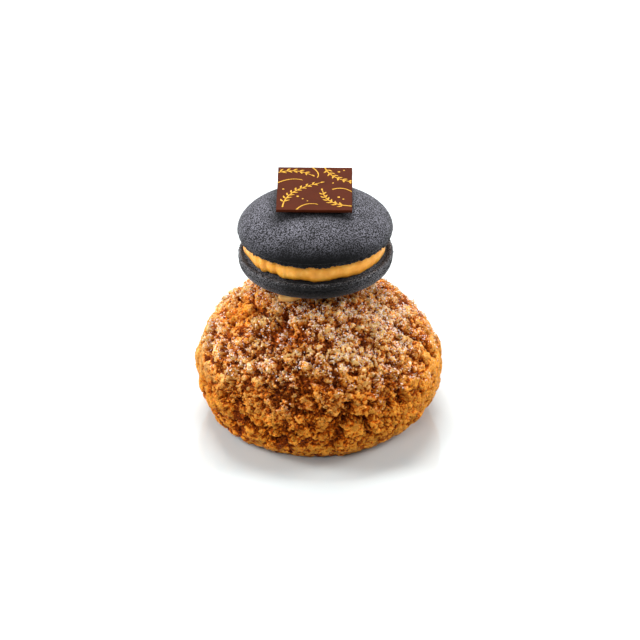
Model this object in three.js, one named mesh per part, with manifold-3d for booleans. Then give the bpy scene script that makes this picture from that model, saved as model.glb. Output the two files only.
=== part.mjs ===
// A round choux bun under a crackled biscuit crust, carrying a filled macaron and a chocolate plaque.
// Millimetres, +Z up. The origin is on the ground, under the middle of the bun.
// Seen from the front (from -Y), an azimuth of 0 faces the viewer and +90 is the right-hand side.

import * as THREE from 'three';
import { ConvexHull } from 'three/addons/math/ConvexHull.js';
import { mergeVertices } from 'three/addons/utils/BufferGeometryUtils.js';
import Module from 'manifold-3d';

// ---- Driving dimensions: the bun --------------------------------------------------------------

const BUN_RADIUS = 35;          // at the waist, out to the tips of the crumbs
const WAIST_HEIGHT = 12.8;
const CROWN_RISE = 31.2;        // from the waist to where the crown's curve would close
const CROWN_HEIGHT_POWER = 2.35;
const CROWN_RADIUS_POWER = 1.17;
const BASE_RADIUS = 26.7;
const SKIRT_POWER = 1.68;
const SEAT_HEIGHT = 41;         // the crown is pressed flat under the macaron
const BASE_SPARE = 2;           // modelled below the ground, then cut off flat

// ---- Driving dimensions: the crackled crust ---------------------------------------------------

const CLUMP_COUNT = 580;
const CLUMP_CANDIDATES = 14;    // more of them give more even clumps
const CLUMP_SIZE_SPREAD = 0.34;
const CLUMP_TOP_MIN = -0.8;
const CLUMP_TOP_MAX = 0.5;
const BARE_SHARE = 0.11;         // places with no clump, where the crust's skin shows
const BARE_TOP = -1.7;
const CLUMP_CROWN = 0.3;        // each clump's middle stands this much above its rim
const CLUMP_TILT = 0.45;
const RIM_INSET_MIN = 0.16;     // how far a clump's rim draws back from its cracks
const RIM_INSET_MAX = 0.34;
const GAP_DEPTH_MIN = 0.8;
const GAP_DEPTH_MAX = 2.3;
const CRACK_SIDE = 2.1;         // clumps beside a named crack are centred this far from it
const CRACK_STEP = 4.2;
const CRACK_REACH = 2.2;
const CRACK_INSET = 0.42;
const LUMP_HEIGHT = 0.45;
const SKIRT_TOP = 7;            // the crust is thinner and smoother below this height
const SKIRT_RELIEF = 0.45;
const SEAT_EDGE_IN = 8;         // no relief inside this radius, full relief outside the next
const SEAT_EDGE_OUT = 11.5;
const BASE_SHIFT = -0.4;         // the base sits a little to the left of the crown

// Broad swells and one hollow (rise below zero) that make the bun less than round.
const SWELLS = [
  { azimuth: 88, height: 36.5, radius: 13, rise: -1.4 },
  { azimuth: 92, height: 14, radius: 24, rise: 0.9 },
  { azimuth: -104, height: 39.5, radius: 11, rise: 1.5 },
];

// Deep cracks: depth in mm, and a path of [azimuth in degrees, height in mm].
const CRACKS = [
  { depth: 2.5, path: [[94, 37.8], [72, 35], [64, 32.7], [72, 27.2], [75, 22.5]] },
  { depth: 2.4, path: [[-71, 31.9], [-70, 27.4], [-72, 21.1]] },
  { depth: 2.4, path: [[-53, 33.5], [-40, 33.9], [-29, 36.7]] },
  { depth: 2.8, path: [[-51, 17.6], [-41, 12.9], [-31, 10.3], [-20, 7.4]] },
  { depth: 2.6, path: [[-26, 11.6], [-17, 11.6], [-10, 10.3]] },
  { depth: 2.2, path: [[-13, 20.4], [-2, 17.9], [4, 17.2]] },
  { depth: 2.8, path: [[15, 19.7], [9, 13.4], [10, 10.3]] },
  { depth: 2.4, path: [[21, 15.4], [24, 10.3]] },
  { depth: 2.0, path: [[13, 8.9], [31, 11.2], [46, 11.8]] },
  { depth: 2.4, path: [[37, 24.2], [42, 18.8], [43, 16.5]] },
  { depth: 2.2, path: [[-38, 30.1], [-29, 26.7]] },
  { depth: 2.0, path: [[-14, 28.1], [0, 26.5]] },
];

// The side that faces away gets cracks of the same kind, drawn at random.
const BACK_CRACKS = { count: 11, azimuthFrom: 100, azimuthTo: 270, heightFrom: 8, heightTo: 34 };

// ---- Driving dimensions: the macaron ----------------------------------------------------------

const MACARON_CENTRE = new THREE.Vector3(-0.65, 1.57, 52.8);
const MACARON_ROLL = THREE.MathUtils.degToRad(0.9); // its right side stands a little higher
const SHELL_RADIUS = 21.4;
const SHELL_SEGMENTS = 52;
const UPPER_WAIST = 3.3;        // heights below are measured from the macaron's middle
const UPPER_DOME_RISE = 8.95;
const UPPER_FACE = 1.7;
const UPPER_FOOT_RADIUS = 20.85;
const LOWER_FACE = -3.4;
const LOWER_DOME_DROP = 6.95;
const LOWER_DOME_POWER = 3.5;
const LOWER_FOOT_HEIGHT = 1.7;
const FOOT_RUFFLE = 0.3;
const FACE_RADIUS = 20.2;

const FILLING_RADIUS = 19.3;
const FILLING_SEGMENTS = 60;
const FILLING_FOLD = 0.35;
const FILLING_BULGE = 0.35;

const TOUCH_GAP = 0.3;          // left between pieces that touch

// ---- Driving dimensions: the plaque and the dab of cream --------------------------------------

const PLAQUE_WIDTH = 20.7;
const PLAQUE_LENGTH = 24.2;
const PLAQUE_THICKNESS = 0.85;
const PLAQUE_CHAMFER = 0.1;
const PLAQUE_TILT = THREE.MathUtils.degToRad(2.5);  // its far edge stands higher
const PLAQUE_LEAN = THREE.MathUtils.degToRad(1.06); // its right edge lies lower on the shell
const PLAQUE_YAW = THREE.MathUtils.degToRad(-0.64);
const PLAQUE_SET_BACK = 5.8;    // from where it touches the dome to its middle
const PLAQUE_SET_LEFT = 0.95;

const DAB_CENTRE = new THREE.Vector3(-2.2, -1.6, 41.6);
const DAB_RADIUS = 8.4;
const DAB_HALF_HEIGHT = 3.4;
const DAB_TONGUE = { azimuth: -36, width: 15, reach: 5.6 };

// ---- Random draws and small helpers -----------------------------------------------------------

function makeRandom(seed) {
  let state = seed;
  return () => {
    state = (state + 0x6d2b79f5) | 0;
    let mixed = Math.imul(state ^ (state >>> 15), 1 | state);
    mixed = (mixed + Math.imul(mixed ^ (mixed >>> 7), 61 | mixed)) ^ mixed;
    return ((mixed ^ (mixed >>> 14)) >>> 0) / 4294967296;
  };
}

const { lerp, smoothstep, degToRad } = THREE.MathUtils;

// A smooth random value between -1 and 1 over directions: a few plane waves summed.
function makeWaves(random, count, frequency) {
  const waves = Array.from({ length: count }, () => ({
    along: randomDirection(random).multiplyScalar(frequency * lerp(0.7, 1.3, random())),
    phase: random() * 2 * Math.PI,
  }));
  return (direction) => {
    const sum = waves.reduce((total, w) => total + Math.sin(w.along.dot(direction) + w.phase), 0);
    return sum / count * 1.6;
  };
}

function randomDirection(random) {
  const z = 2 * random() - 1;
  const angle = random() * 2 * Math.PI;
  const radius = Math.sqrt(1 - z * z);
  return new THREE.Vector3(radius * Math.cos(angle), radius * Math.sin(angle), z);
}

const wasm = await Module();
wasm.setup();

function toSolid(geometry) {
  const bare = geometry.clone();
  bare.deleteAttribute('normal');
  bare.deleteAttribute('uv');
  const merged = mergeVertices(bare, 1e-5);
  return new wasm.Manifold(new wasm.Mesh({
    numProp: 3,
    vertProperties: new Float32Array(merged.attributes.position.array),
    triVerts: new Uint32Array(merged.index.array),
  }));
}

function toGeometry(solid) {
  const mesh = solid.getMesh();
  return indexedGeometry(mesh.vertProperties, mesh.triVerts);
}

function indexedGeometry(positions, triangles) {
  const geometry = new THREE.BufferGeometry();
  geometry.setAttribute('position', new THREE.BufferAttribute(new Float32Array(positions), 3));
  geometry.setIndex(new THREE.BufferAttribute(new Uint32Array(triangles), 1));
  geometry.computeVertexNormals();
  return geometry;
}

// ---- The bun's plain outline, as radius and height from the seat down to the base -------------

function crownPoint(share) {
  const radius = BUN_RADIUS * Math.pow(1 - Math.pow(share, CROWN_HEIGHT_POWER), 1 / CROWN_RADIUS_POWER);
  return new THREE.Vector2(radius, WAIST_HEIGHT + CROWN_RISE * share);
}

function skirtPoint(share) {
  const bulge = Math.pow(1 - Math.pow(share, SKIRT_POWER), 1 / SKIRT_POWER);
  return new THREE.Vector2(lerp(BASE_RADIUS, BUN_RADIUS, bulge), WAIST_HEIGHT * (1 - share));
}

function bunOutline() {
  const steps = 120;
  const seatShare = (SEAT_HEIGHT - WAIST_HEIGHT) / CROWN_RISE;
  const seatRadius = crownPoint(seatShare).x;
  const outline = [];
  for (let i = 0; i < 20; i++) outline.push(new THREE.Vector2(seatRadius * i / 20, SEAT_HEIGHT));
  for (let i = 0; i < steps; i++) outline.push(crownPoint(seatShare * (1 - i / steps)));
  for (let i = 0; i <= steps; i++) outline.push(skirtPoint(i / steps));
  for (let i = 0; i <= 20; i++) {
    outline.push(new THREE.Vector2(BASE_RADIUS * (1 - i / 20), -BASE_SPARE));
  }
  return outline;
}

// The outline is wrapped over a globe so that equal areas stay equal: the share of the bun's
// surface above each outline point says how far down the globe it lies.
function wrapTable() {
  const outline = bunOutline();
  const table = [{ share: 0, radius: outline[0].x, height: outline[0].y }];
  let area = 0;
  for (let i = 1; i < outline.length; i++) {
    const width = outline[i].distanceTo(outline[i - 1]);
    area += Math.PI * (outline[i].x + outline[i - 1].x) * width;
    table.push({ share: area, radius: outline[i].x, height: outline[i].y });
  }
  for (const row of table) row.share /= area;
  return { table, globeRadius: Math.sqrt(area / (4 * Math.PI)) };
}

const { table: WRAP, globeRadius: GLOBE_RADIUS } = wrapTable();

// The surface point and outward normal for a direction on the globe.
function onBun(direction) {
  const share = THREE.MathUtils.clamp((1 - direction.z) / 2, 0, 1);
  let upper = 1;
  while (upper < WRAP.length - 1 && WRAP[upper].share < share) upper++;
  const before = WRAP[upper - 1];
  const after = WRAP[upper];
  const blend = THREE.MathUtils.clamp((share - before.share) / (after.share - before.share), 0, 1);
  const radius = lerp(before.radius, after.radius, blend);
  const height = lerp(before.height, after.height, blend);
  const slope = new THREE.Vector2(after.radius - before.radius, after.height - before.height).normalize();
  const angle = Math.atan2(direction.y, direction.x);
  const outward = new THREE.Vector3(-slope.y * Math.cos(angle), -slope.y * Math.sin(angle), slope.x);
  const point = new THREE.Vector3(radius * Math.cos(angle), radius * Math.sin(angle), height);
  return { point, outward };
}

// The globe direction for a place on the crust given by azimuth and height.
function globeDirection(azimuth, height) {
  const row = WRAP.find((entry) => entry.height <= height);
  const z = 1 - 2 * row.share;
  const angle = degToRad(azimuth - 90);
  const radius = Math.sqrt(1 - z * z);
  return new THREE.Vector3(radius * Math.cos(angle), radius * Math.sin(angle), z);
}

// ---- The crackled crust: clumps in a network of cracks ----------------------------------------

function backCracks(random) {
  return Array.from({ length: BACK_CRACKS.count }, () => {
    const azimuth = lerp(BACK_CRACKS.azimuthFrom, BACK_CRACKS.azimuthTo, random());
    const height = lerp(BACK_CRACKS.heightFrom, BACK_CRACKS.heightTo, random());
    const turn = lerp(-16, 16, random());
    const drop = lerp(2, 9, random());
    return {
      depth: lerp(1.8, 2.7, random()),
      path: [[azimuth, height], [azimuth + turn, height - drop / 2], [azimuth + 1.4 * turn, height - drop]],
    };
  });
}

// A crack as closely spaced globe directions, with the direction it runs in at each.
function crackLine(crack) {
  const corners = crack.path.map(([azimuth, height]) => globeDirection(azimuth, height));
  const line = [];
  for (let i = 1; i < corners.length; i++) {
    const length = corners[i].angleTo(corners[i - 1]) * GLOBE_RADIUS;
    const pieces = Math.max(1, Math.round(length / CRACK_STEP));
    const run = corners[i].clone().sub(corners[i - 1]).normalize();
    for (let k = i === 1 ? 0 : 1; k <= pieces; k++) {
      const direction = corners[i - 1].clone().lerp(corners[i], k / pieces).normalize();
      line.push({ direction, run });
    }
  }
  return line;
}

function nearestDistance(direction, others) {
  let nearest = Infinity;
  for (const other of others) nearest = Math.min(nearest, direction.distanceToSquared(other));
  return Math.sqrt(nearest) * GLOBE_RADIUS;
}

// Clump centres: a pair either side of every step of a named crack, so that a gap runs along
// the crack itself, and the rest spread over what is left.
function clumpCentres(random, lines) {
  const centres = [];
  for (const { direction, run } of lines.flat()) {
    const across = new THREE.Vector3().crossVectors(direction, run).normalize();
    for (const side of [-1, 1]) {
      const aside = side * CRACK_SIDE * lerp(0.85, 1.2, random());
      const along = CRACK_STEP * lerp(-0.2, 0.2, random());
      const centre = direction.clone()
        .addScaledVector(across, aside / GLOBE_RADIUS)
        .addScaledVector(run, along / GLOBE_RADIUS)
        .normalize();
      if (nearestDistance(centre, centres) > 0.7 * CRACK_STEP) centres.push(centre);
    }
  }
  const size = makeWaves(random, 8, 5);
  while (centres.length < CLUMP_COUNT) {
    let best = null;
    let bestRoom = -1;
    for (let k = 0; k < CLUMP_CANDIDATES; k++) {
      const candidate = randomDirection(random);
      const room = nearestDistance(candidate, centres) * (1 + CLUMP_SIZE_SPREAD * size(candidate));
      if (room > bestRoom) {
        best = candidate;
        bestRoom = room;
      }
    }
    centres.push(best);
  }
  return centres;
}

// How strongly the crust's relief shows: none on the seat, weaker on the skirt.
function reliefStrength(point) {
  const radius = Math.hypot(point.x, point.y);
  const onSeat = point.z > WAIST_HEIGHT ? smoothstep(radius, SEAT_EDGE_IN, SEAT_EDGE_OUT) : 1;
  return onSeat * lerp(SKIRT_RELIEF, 1, smoothstep(point.z, 0, SKIRT_TOP));
}

function buildBun() {
  const random = makeRandom(41);
  const lump = makeWaves(random, 7, 3.2);
  const cracks = [...CRACKS, ...backCracks(random)];
  const lines = cracks.map(crackLine);
  const centres = clumpCentres(random, lines);
  const swells = SWELLS.map((swell) => (
    { ...swell, middle: onBun(globeDirection(swell.azimuth, swell.height)).point }));

  function crackDepthAt(direction) {
    let depth = 0;
    lines.forEach((line, index) => {
      const distance = nearestDistance(direction, line.map((step) => step.direction));
      const near = 1 - smoothstep(distance, CRACK_REACH / 2, CRACK_REACH * 1.5);
      depth = Math.max(depth, near * cracks[index].depth);
    });
    return depth;
  }

  function raised(direction, relief) {
    const { point, outward } = onBun(direction);
    const swell = swells.reduce((sum, { middle, radius, rise }) => (
      sum + rise * (1 - smoothstep(point.distanceTo(middle), 0, radius))), 0);
    const strength = reliefStrength(point);
    const height = strength * (relief + LUMP_HEIGHT * (lump(direction) - 1)) + swell;
    point.x += BASE_SHIFT * (1 - smoothstep(point.z, 0, WAIST_HEIGHT));
    return point.addScaledVector(outward, height);
  }

  const hull = new ConvexHull().setFromPoints(centres);
  const positions = [];
  const addPoint = (point) => positions.push(point.x, point.y, point.z) / 3 - 1;

  // The faces between neighbouring centres are the corners where three cracks meet.
  const cells = new Map(centres.map((centre) => [centre, []]));
  for (const face of hull.faces) {
    const direction = face.normal.clone();
    const crackDepth = crackDepthAt(direction);
    const gapDepth = lerp(GAP_DEPTH_MIN, GAP_DEPTH_MAX, random() ** 1.5);
    const depth = Math.max(gapDepth, crackDepth);
    const corner = { direction, cracked: crackDepth > GAP_DEPTH_MAX * 0.8 };
    corner.index = addPoint(raised(direction, -depth));
    let edge = face.edge;
    do {
      cells.get(edge.head().point).push(corner);
      edge = edge.next;
    } while (edge !== face.edge);
  }

  const triangles = [];
  for (const [centre, corners] of cells) {
    const east = new THREE.Vector3(0, 0, 1).cross(centre).normalize();
    const north = centre.clone().cross(east);
    const around = (corner) => Math.atan2(corner.direction.dot(north), corner.direction.dot(east));
    corners.sort((a, b) => around(a) - around(b));

    const bare = random() < BARE_SHARE;
    const top = bare ? BARE_TOP : lerp(CLUMP_TOP_MIN, CLUMP_TOP_MAX, random());
    const tilt = CLUMP_TILT * random();
    const tiltAngle = random() * 2 * Math.PI;
    const rim = corners.map((corner) => {
      const inset = corner.cracked ? CRACK_INSET : lerp(RIM_INSET_MIN, RIM_INSET_MAX, random());
      const direction = corner.direction.clone().lerp(centre, inset).normalize();
      return addPoint(raised(direction, top + tilt * Math.cos(around(corner) - tiltAngle)));
    });
    const middle = addPoint(raised(centre, top + CLUMP_CROWN));
    corners.forEach((corner, i) => {
      const next = (i + 1) % corners.length;
      triangles.push(middle, rim[i], rim[next]);
      triangles.push(rim[i], corner.index, corners[next].index);
      triangles.push(rim[i], corners[next].index, rim[next]);
    });
  }

  const whole = toSolid(indexedGeometry(positions, triangles));
  const ground = new THREE.BoxGeometry(4 * BUN_RADIUS, 4 * BUN_RADIUS, BUN_RADIUS);
  ground.translate(0, 0, -BUN_RADIUS / 2);
  return whole.subtract(toSolid(ground));
}

// ---- The macaron's shells and filling ---------------------------------------------------------

// A turned piece whose rim is ruffled: profile rows are [radius, height, how far they ruffle].
function buildRuffled(profile, segments, ruffle) {
  const outline = profile.map(([radius, height]) => new THREE.Vector2(radius, height));
  const lathe = new THREE.LatheGeometry(outline, segments);
  lathe.rotateX(Math.PI / 2);
  const position = lathe.attributes.position;
  for (let i = 0; i < position.count; i++) {
    const share = profile[i % profile.length][2];
    const radius = Math.hypot(position.getX(i), position.getY(i));
    if (share === 0 || radius === 0) continue;
    const angle = Math.atan2(position.getY(i), position.getX(i));
    const scale = 1 + share * ruffle(angle, i % profile.length) / radius;
    position.setXY(i, position.getX(i) * scale, position.getY(i) * scale);
  }
  return lathe;
}

// Ripples round a rim: whole-number waves, so that the ring closes.
function makeRipples(seed, waves) {
  const random = makeRandom(seed);
  const parts = waves.map((count) => ({ count, phase: random() * 2 * Math.PI, shift: random() * 3 }));
  return (angle, row) => {
    const sum = parts.reduce((s, w) => s + Math.sin(w.count * angle + w.phase + w.shift * row), 0);
    return sum / Math.sqrt(parts.length);
  };
}

function upperShellProfile() {
  const rows = [[0, UPPER_FACE, 0], [FACE_RADIUS, UPPER_FACE, 0]];
  rows.push([UPPER_FOOT_RADIUS, UPPER_FACE + 0.15, 1]);
  rows.push([UPPER_FOOT_RADIUS + 0.25, UPPER_FACE + 0.7, 1]);
  rows.push([UPPER_FOOT_RADIUS, UPPER_FACE + 1.2, 0.4]);
  const steps = 7;
  for (let i = 0; i <= steps; i++) {
    const angle = Math.PI / 2 * i / steps;
    const radius = i === steps ? 0 : SHELL_RADIUS * Math.cos(angle);
    rows.push([radius, UPPER_WAIST + UPPER_DOME_RISE * Math.sin(angle), 0]);
  }
  return rows;
}

function lowerShellProfile() {
  const rows = [];
  const steps = 6;
  for (let i = 0; i < steps; i++) {
    const radius = SHELL_RADIUS * Math.sin(Math.PI / 2 * i / steps);
    const drop = Math.pow(1 - Math.pow(radius / SHELL_RADIUS, LOWER_DOME_POWER), 1 / LOWER_DOME_POWER);
    rows.push([radius, LOWER_FACE - LOWER_DOME_DROP * drop, 0]);
  }
  rows.push([SHELL_RADIUS - 0.25, LOWER_FACE - LOWER_FOOT_HEIGHT - 0.3, 0.2]);
  rows.push([SHELL_RADIUS - 0.45, LOWER_FACE - LOWER_FOOT_HEIGHT, 0.5]);
  rows.push([SHELL_RADIUS, LOWER_FACE - LOWER_FOOT_HEIGHT * 0.65, 1]);
  rows.push([SHELL_RADIUS - 0.05, LOWER_FACE - 0.3, 1]);
  rows.push([SHELL_RADIUS - 0.6, LOWER_FACE + 0.1, 1]);
  rows.push([FACE_RADIUS, LOWER_FACE, 0]);
  rows.push([0, LOWER_FACE, 0]);
  return rows;
}

function fillingProfile() {
  const bottom = LOWER_FACE + TOUCH_GAP;
  const top = UPPER_FACE - TOUCH_GAP;
  const rows = [[0, bottom, 0], [FILLING_RADIUS - 0.3, bottom, 0.7]];
  for (const share of [0.14, 0.5, 0.86]) {
    const bulge = FILLING_BULGE * Math.sin(Math.PI * share);
    rows.push([FILLING_RADIUS + bulge, lerp(bottom, top, share), 1]);
  }
  rows.push([FILLING_RADIUS - 0.4, top, 0.7]);
  rows.push([0, top, 0]);
  return rows;
}

// ---- The plaque -------------------------------------------------------------------------------

function buildPlaque() {
  const x = PLAQUE_WIDTH / 2 - PLAQUE_CHAMFER;
  const y = PLAQUE_LENGTH / 2 - PLAQUE_CHAMFER;
  const corners = [[-x, -y], [x, -y], [x, y], [-x, y]].map(([u, v]) => new THREE.Vector2(u, v));
  const plate = new THREE.ExtrudeGeometry(new THREE.Shape(corners), {
    depth: PLAQUE_THICKNESS - 2 * PLAQUE_CHAMFER,
    bevelThickness: PLAQUE_CHAMFER,
    bevelSize: PLAQUE_CHAMFER,
    bevelSegments: 1,
  });
  plate.translate(0, 0, PLAQUE_CHAMFER);
  return plate;
}

// The plaque rests on the dome at the point where the dome faces the same way as it does.
function placePlaque(plaque) {
  plaque.rotation.set(PLAQUE_TILT, PLAQUE_LEAN, PLAQUE_YAW);
  const right = new THREE.Vector3(1, 0, 0).applyEuler(plaque.rotation);
  const back = new THREE.Vector3(0, 1, 0).applyEuler(plaque.rotation);
  const up = new THREE.Vector3(0, 0, 1).applyEuler(plaque.rotation);
  const semiAxes = new THREE.Vector3(SHELL_RADIUS, SHELL_RADIUS, UPPER_DOME_RISE);
  const stretched = up.clone().multiply(semiAxes);
  plaque.position.copy(stretched).multiply(semiAxes).divideScalar(stretched.length());
  plaque.position.z += UPPER_WAIST;
  plaque.position
    .addScaledVector(up, TOUCH_GAP)
    .addScaledVector(back, PLAQUE_SET_BACK)
    .addScaledVector(right, -PLAQUE_SET_LEFT);
}

// ---- The dab of cream that holds the macaron --------------------------------------------------

function buildDab(bun, shell) {
  const blob = new THREE.SphereGeometry(1, 28, 8);
  blob.rotateX(Math.PI / 2);
  const position = blob.attributes.position;
  for (let i = 0; i < position.count; i++) {
    const flat = Math.hypot(position.getX(i), position.getY(i));
    const azimuth = THREE.MathUtils.radToDeg(Math.atan2(position.getX(i), -position.getY(i)));
    const off = (azimuth - DAB_TONGUE.azimuth) / DAB_TONGUE.width;
    const radius = flat > 1e-6 ? DAB_RADIUS + DAB_TONGUE.reach * Math.exp(-off * off) : DAB_RADIUS;
    position.setXYZ(i, position.getX(i) * radius, position.getY(i) * radius,
      position.getZ(i) * DAB_HALF_HEIGHT);
  }
  blob.translate(DAB_CENTRE.x, DAB_CENTRE.y, DAB_CENTRE.z);
  const free = toSolid(blob)
    .subtract(shell.translate([0, 0, -TOUCH_GAP]))
    .subtract(bun.translate([0, 0, TOUCH_GAP]));
  return free.decompose().sort((a, b) => b.volume() - a.volume())[0];
}

// ---- Assembly ---------------------------------------------------------------------------------

function addMesh(parent, name, geometry, colour, roughness) {
  const material = new THREE.MeshStandardMaterial({ color: colour, roughness, metalness: 0 });
  const mesh = new THREE.Mesh(geometry, material);
  mesh.name = name;
  parent.add(mesh);
  return mesh;
}

const pastry = new THREE.Group();

const macaron = new THREE.Group();
macaron.position.copy(MACARON_CENTRE);
macaron.rotation.y = -MACARON_ROLL;
pastry.add(macaron);

const footRuffle = makeRipples(7, [9, 17, 31]);
const ruffle = (angle, row) => FOOT_RUFFLE * footRuffle(angle, row);
const creamRipple = makeRipples(19, [5, 11, 23]);
const fold = (angle, row) => FILLING_FOLD * creamRipple(angle, row * 0.3);

const upperShell = buildRuffled(upperShellProfile(), SHELL_SEGMENTS, ruffle);
const lowerShell = buildRuffled(lowerShellProfile(), SHELL_SEGMENTS, ruffle);
const filling = buildRuffled(fillingProfile(), FILLING_SEGMENTS, fold);

addMesh(macaron, 'macaron_upper_shell', upperShell, 0x3c3c44, 0.75);
addMesh(macaron, 'macaron_filling', filling, 0xd8963f, 0.45);
addMesh(macaron, 'macaron_lower_shell', lowerShell, 0x28282c, 0.7);

const plaque = addMesh(macaron, 'chocolate_plaque', buildPlaque(), 0x4a2420, 0.35);
placePlaque(plaque);

macaron.updateMatrixWorld(true);
const bunSolid = buildBun();
const shellSolid = toSolid(lowerShell.clone().applyMatrix4(macaron.matrixWorld));

addMesh(pastry, 'bun', toGeometry(bunSolid), 0xb8742a, 0.85);
addMesh(pastry, 'cream_dab', toGeometry(buildDab(bunSolid, shellSolid)), 0xe0a050, 0.45);

export default pastry;
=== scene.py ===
import math

import bmesh
import bpy
import numpy as np
from mathutils import Euler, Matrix, Quaternion, Vector, kdtree, noise


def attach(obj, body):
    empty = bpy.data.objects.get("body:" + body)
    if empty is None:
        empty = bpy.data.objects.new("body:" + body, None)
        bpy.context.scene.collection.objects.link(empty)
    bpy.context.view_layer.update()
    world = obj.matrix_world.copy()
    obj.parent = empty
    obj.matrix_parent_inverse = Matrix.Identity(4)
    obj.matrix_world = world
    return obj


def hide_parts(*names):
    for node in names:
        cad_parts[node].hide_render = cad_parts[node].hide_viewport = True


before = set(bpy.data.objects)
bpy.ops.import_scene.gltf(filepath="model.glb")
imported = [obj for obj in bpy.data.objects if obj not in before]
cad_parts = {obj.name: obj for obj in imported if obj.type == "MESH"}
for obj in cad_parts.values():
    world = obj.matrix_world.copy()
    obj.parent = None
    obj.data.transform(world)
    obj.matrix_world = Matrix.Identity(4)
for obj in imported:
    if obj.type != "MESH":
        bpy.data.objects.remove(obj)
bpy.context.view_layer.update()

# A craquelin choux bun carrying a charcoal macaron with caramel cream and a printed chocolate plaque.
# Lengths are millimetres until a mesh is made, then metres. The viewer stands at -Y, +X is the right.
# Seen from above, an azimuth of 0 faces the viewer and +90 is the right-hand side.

MM = 0.001

# ---- Camera and light ----

CAMERA_TARGET = (0.64, 0.0, 27.87)
CAMERA_DISTANCE = 736.9
CAMERA_ELEVATION = math.radians(29.37)
CAMERA_LENS = 148.3
SENSOR_WIDTH = 36.0

FLOOR_HALF = 3000.0
FLOOR_LEVEL = -0.02

# name: place, size and power in watts; all are aimed at the pastry's middle
SOFTBOXES = {
    "overhead": ((-60.0, 470.0, 1080.0), (600.0, 420.0), 16.0),
    "left": ((-950.0, 60.0, 600.0), (400.0, 600.0), 13.2),
    "right": ((950.0, 120.0, 600.0), (400.0, 600.0), 10.8),
    "front": ((-250.0, -1050.0, 950.0), (600.0, 450.0), 8.2),
    "backdrop": ((0.0, 1300.0, 850.0), (1600.0, 1100.0), 7.0),
}
AIM = (0.0, 0.0, 30.0)
WORLD_COLOUR = (1.0, 1.0, 1.0, 1.0)
WORLD_STRENGTH = 0.24
FLOOR_ALBEDO = 0.56
FLOOR_TINT = (0.94, 1.0, 1.005)

# ---- The bun's crust ----

BUN_RADIUS = 35.0
WAIST_HEIGHT = 12.8
CROWN_RISE = 31.2
CROWN_HEIGHT_POWER = 2.35
CROWN_RADIUS_POWER = 1.17
BASE_RADIUS = 26.7
SKIRT_POWER = 1.68
SEAT_RADIUS = 9.3
SEAT_HEIGHT = 38.5              # the seat under the macaron is flat above this

CRUST_VOXEL = 0.43
CRUST_SMOOTHING = 1             # rounds
BODY_SMOOTHING = 130            # rounds that leave the bun without its clumps
BASE_KEPT = 0.3                 # points this low stay flat on the ground
CLUMP_FOOT = -0.55              # a clump's wall rises between these two heights of the solid
CLUMP_BROW = -0.12
CLUMP_TOP = 0.25
CLUMP_FLOOR = -0.9
CLUMP_SWELL = 0.35              # how much of the solid's own unevenness stays on the tops
EDGE_RAGGED = 0.4
CLUSTER_SCALE = 0.3             # per mm
CLUSTER_GAPS = 0.22             # share of the crust that lies between clusters of crumbs
CLUSTER_DEPTH = 0.7
PLATES = (38.0, 12.0, 34.0)     # azimuth, height and reach of the larger, closed plates
PLATE_CLOSING = 0.28
LUMP_RISE = 1.15
LUMP_CALM = 0.4                 # how much calmer the relief is on a lump
STRAY_LUMPS = 1400              # places tried for lumps besides the named ones
STRAY_ROOM = (2.6, 4.6)         # how far apart they stand
STRAY_RADIUS = (0.9, 1.9)
STRAY_RISE = (0.2, 1.0)
SHADED_OPEN_FRONT = (-2.0, 18.0, 17.0)    # azimuth, height and reach of the more open front, which is also painted darker as shade
FRONT_GAP_OPENING = 0.12
FOOT_OPENING = 0.16             # how much wider the gaps are near the ground
SIDE_CALM = 0.8                 # how much calmer the relief is on the flanks
GRANULE_COUNT = 12000
GRANULE_ROOM = (0.9, 1.9)
GRANULE_HEIGHT = 0.42
GRANULE_LIFT = 0.16             # how much granules differ in height
GRANULE_TILT = 0.25
GRANULE_GAP = 0.8               # how wide the seam between two granules is
WARP_SCALE = 0.9                # per mm
WARP_REACH = 0.45
CRUMBLE_HEIGHT = 0.55
CRUMBLE_SCALE = 0.85            # per mm

CREVICE_WIDTH = 1.25            # times the half widths below
CREVICE_CUT = 0.9               # times the depths below, over what the solid has

# Deep cracks, as in the solid: depth, half width and a path of (azimuth, height).
CREVICES = [
    (1.7, 0.9, (94, 37.8), (72, 35.0), (64, 32.7), (72, 27.2), (75, 22.5)),
    (1.6, 1.0, (-71, 31.9), (-70, 27.4), (-72, 21.1)), (1.2, 0.7, (-53, 33.5), (-42, 33.3), (-33, 34.6)),
    (2.0, 1.2, (-51, 17.6), (-41, 12.9), (-31, 10.3), (-20, 7.4)),
    (1.7, 0.9, (-26, 11.6), (-17, 11.6), (-10, 10.3)), (1.4, 1.1, (-13, 20.4), (-2, 17.9), (4, 17.2)),
    (2.0, 1.1, (15, 19.7), (9, 13.4), (10, 10.3)), (1.7, 0.8, (21, 15.4), (24, 10.3)),
    (1.0, 0.4, (28, 9.9), (35, 11.4), (46, 11.8)), (1.0, 0.4, (13, 8.6), (22, 9.3), (26, 10.1)),
    (1.6, 1.0, (37, 24.2), (42, 18.8), (43, 16.5)), (1.5, 0.7, (31, 20.1), (27, 18.4)),
    (1.5, 0.9, (-20, 28.7), (-15, 28.8)), (1.4, 0.8, (-40, 20.3), (-39, 17.6)),
    (1.4, 0.7, (-28, 23.3), (-24, 23.6)), (1.2, 0.9, (2, 18.5), (2, 16.3)),
    (1.2, 0.9, (-36, 38.3), (-30, 37.0)), (1.2, 0.8, (18, 27.4), (22, 27.3)),
    (1.5, 1.1, (-37, 29.6), (-35, 29.0)), (1.5, 1.0, (-74, 22.9), (-73, 22.5)),
    (1.4, 1.0, (-18, 24.9), (-16, 24.5)), (1.4, 0.9, (-54, 19.2), (-52, 18.8)),
    (1.3, 1.2, (-6, 22.2), (-4, 21.8)), (1.3, 1.0, (9, 25.5), (11, 25.1)),
    (1.4, 0.8, (34, 17.8), (36, 17.2)),
]

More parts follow.
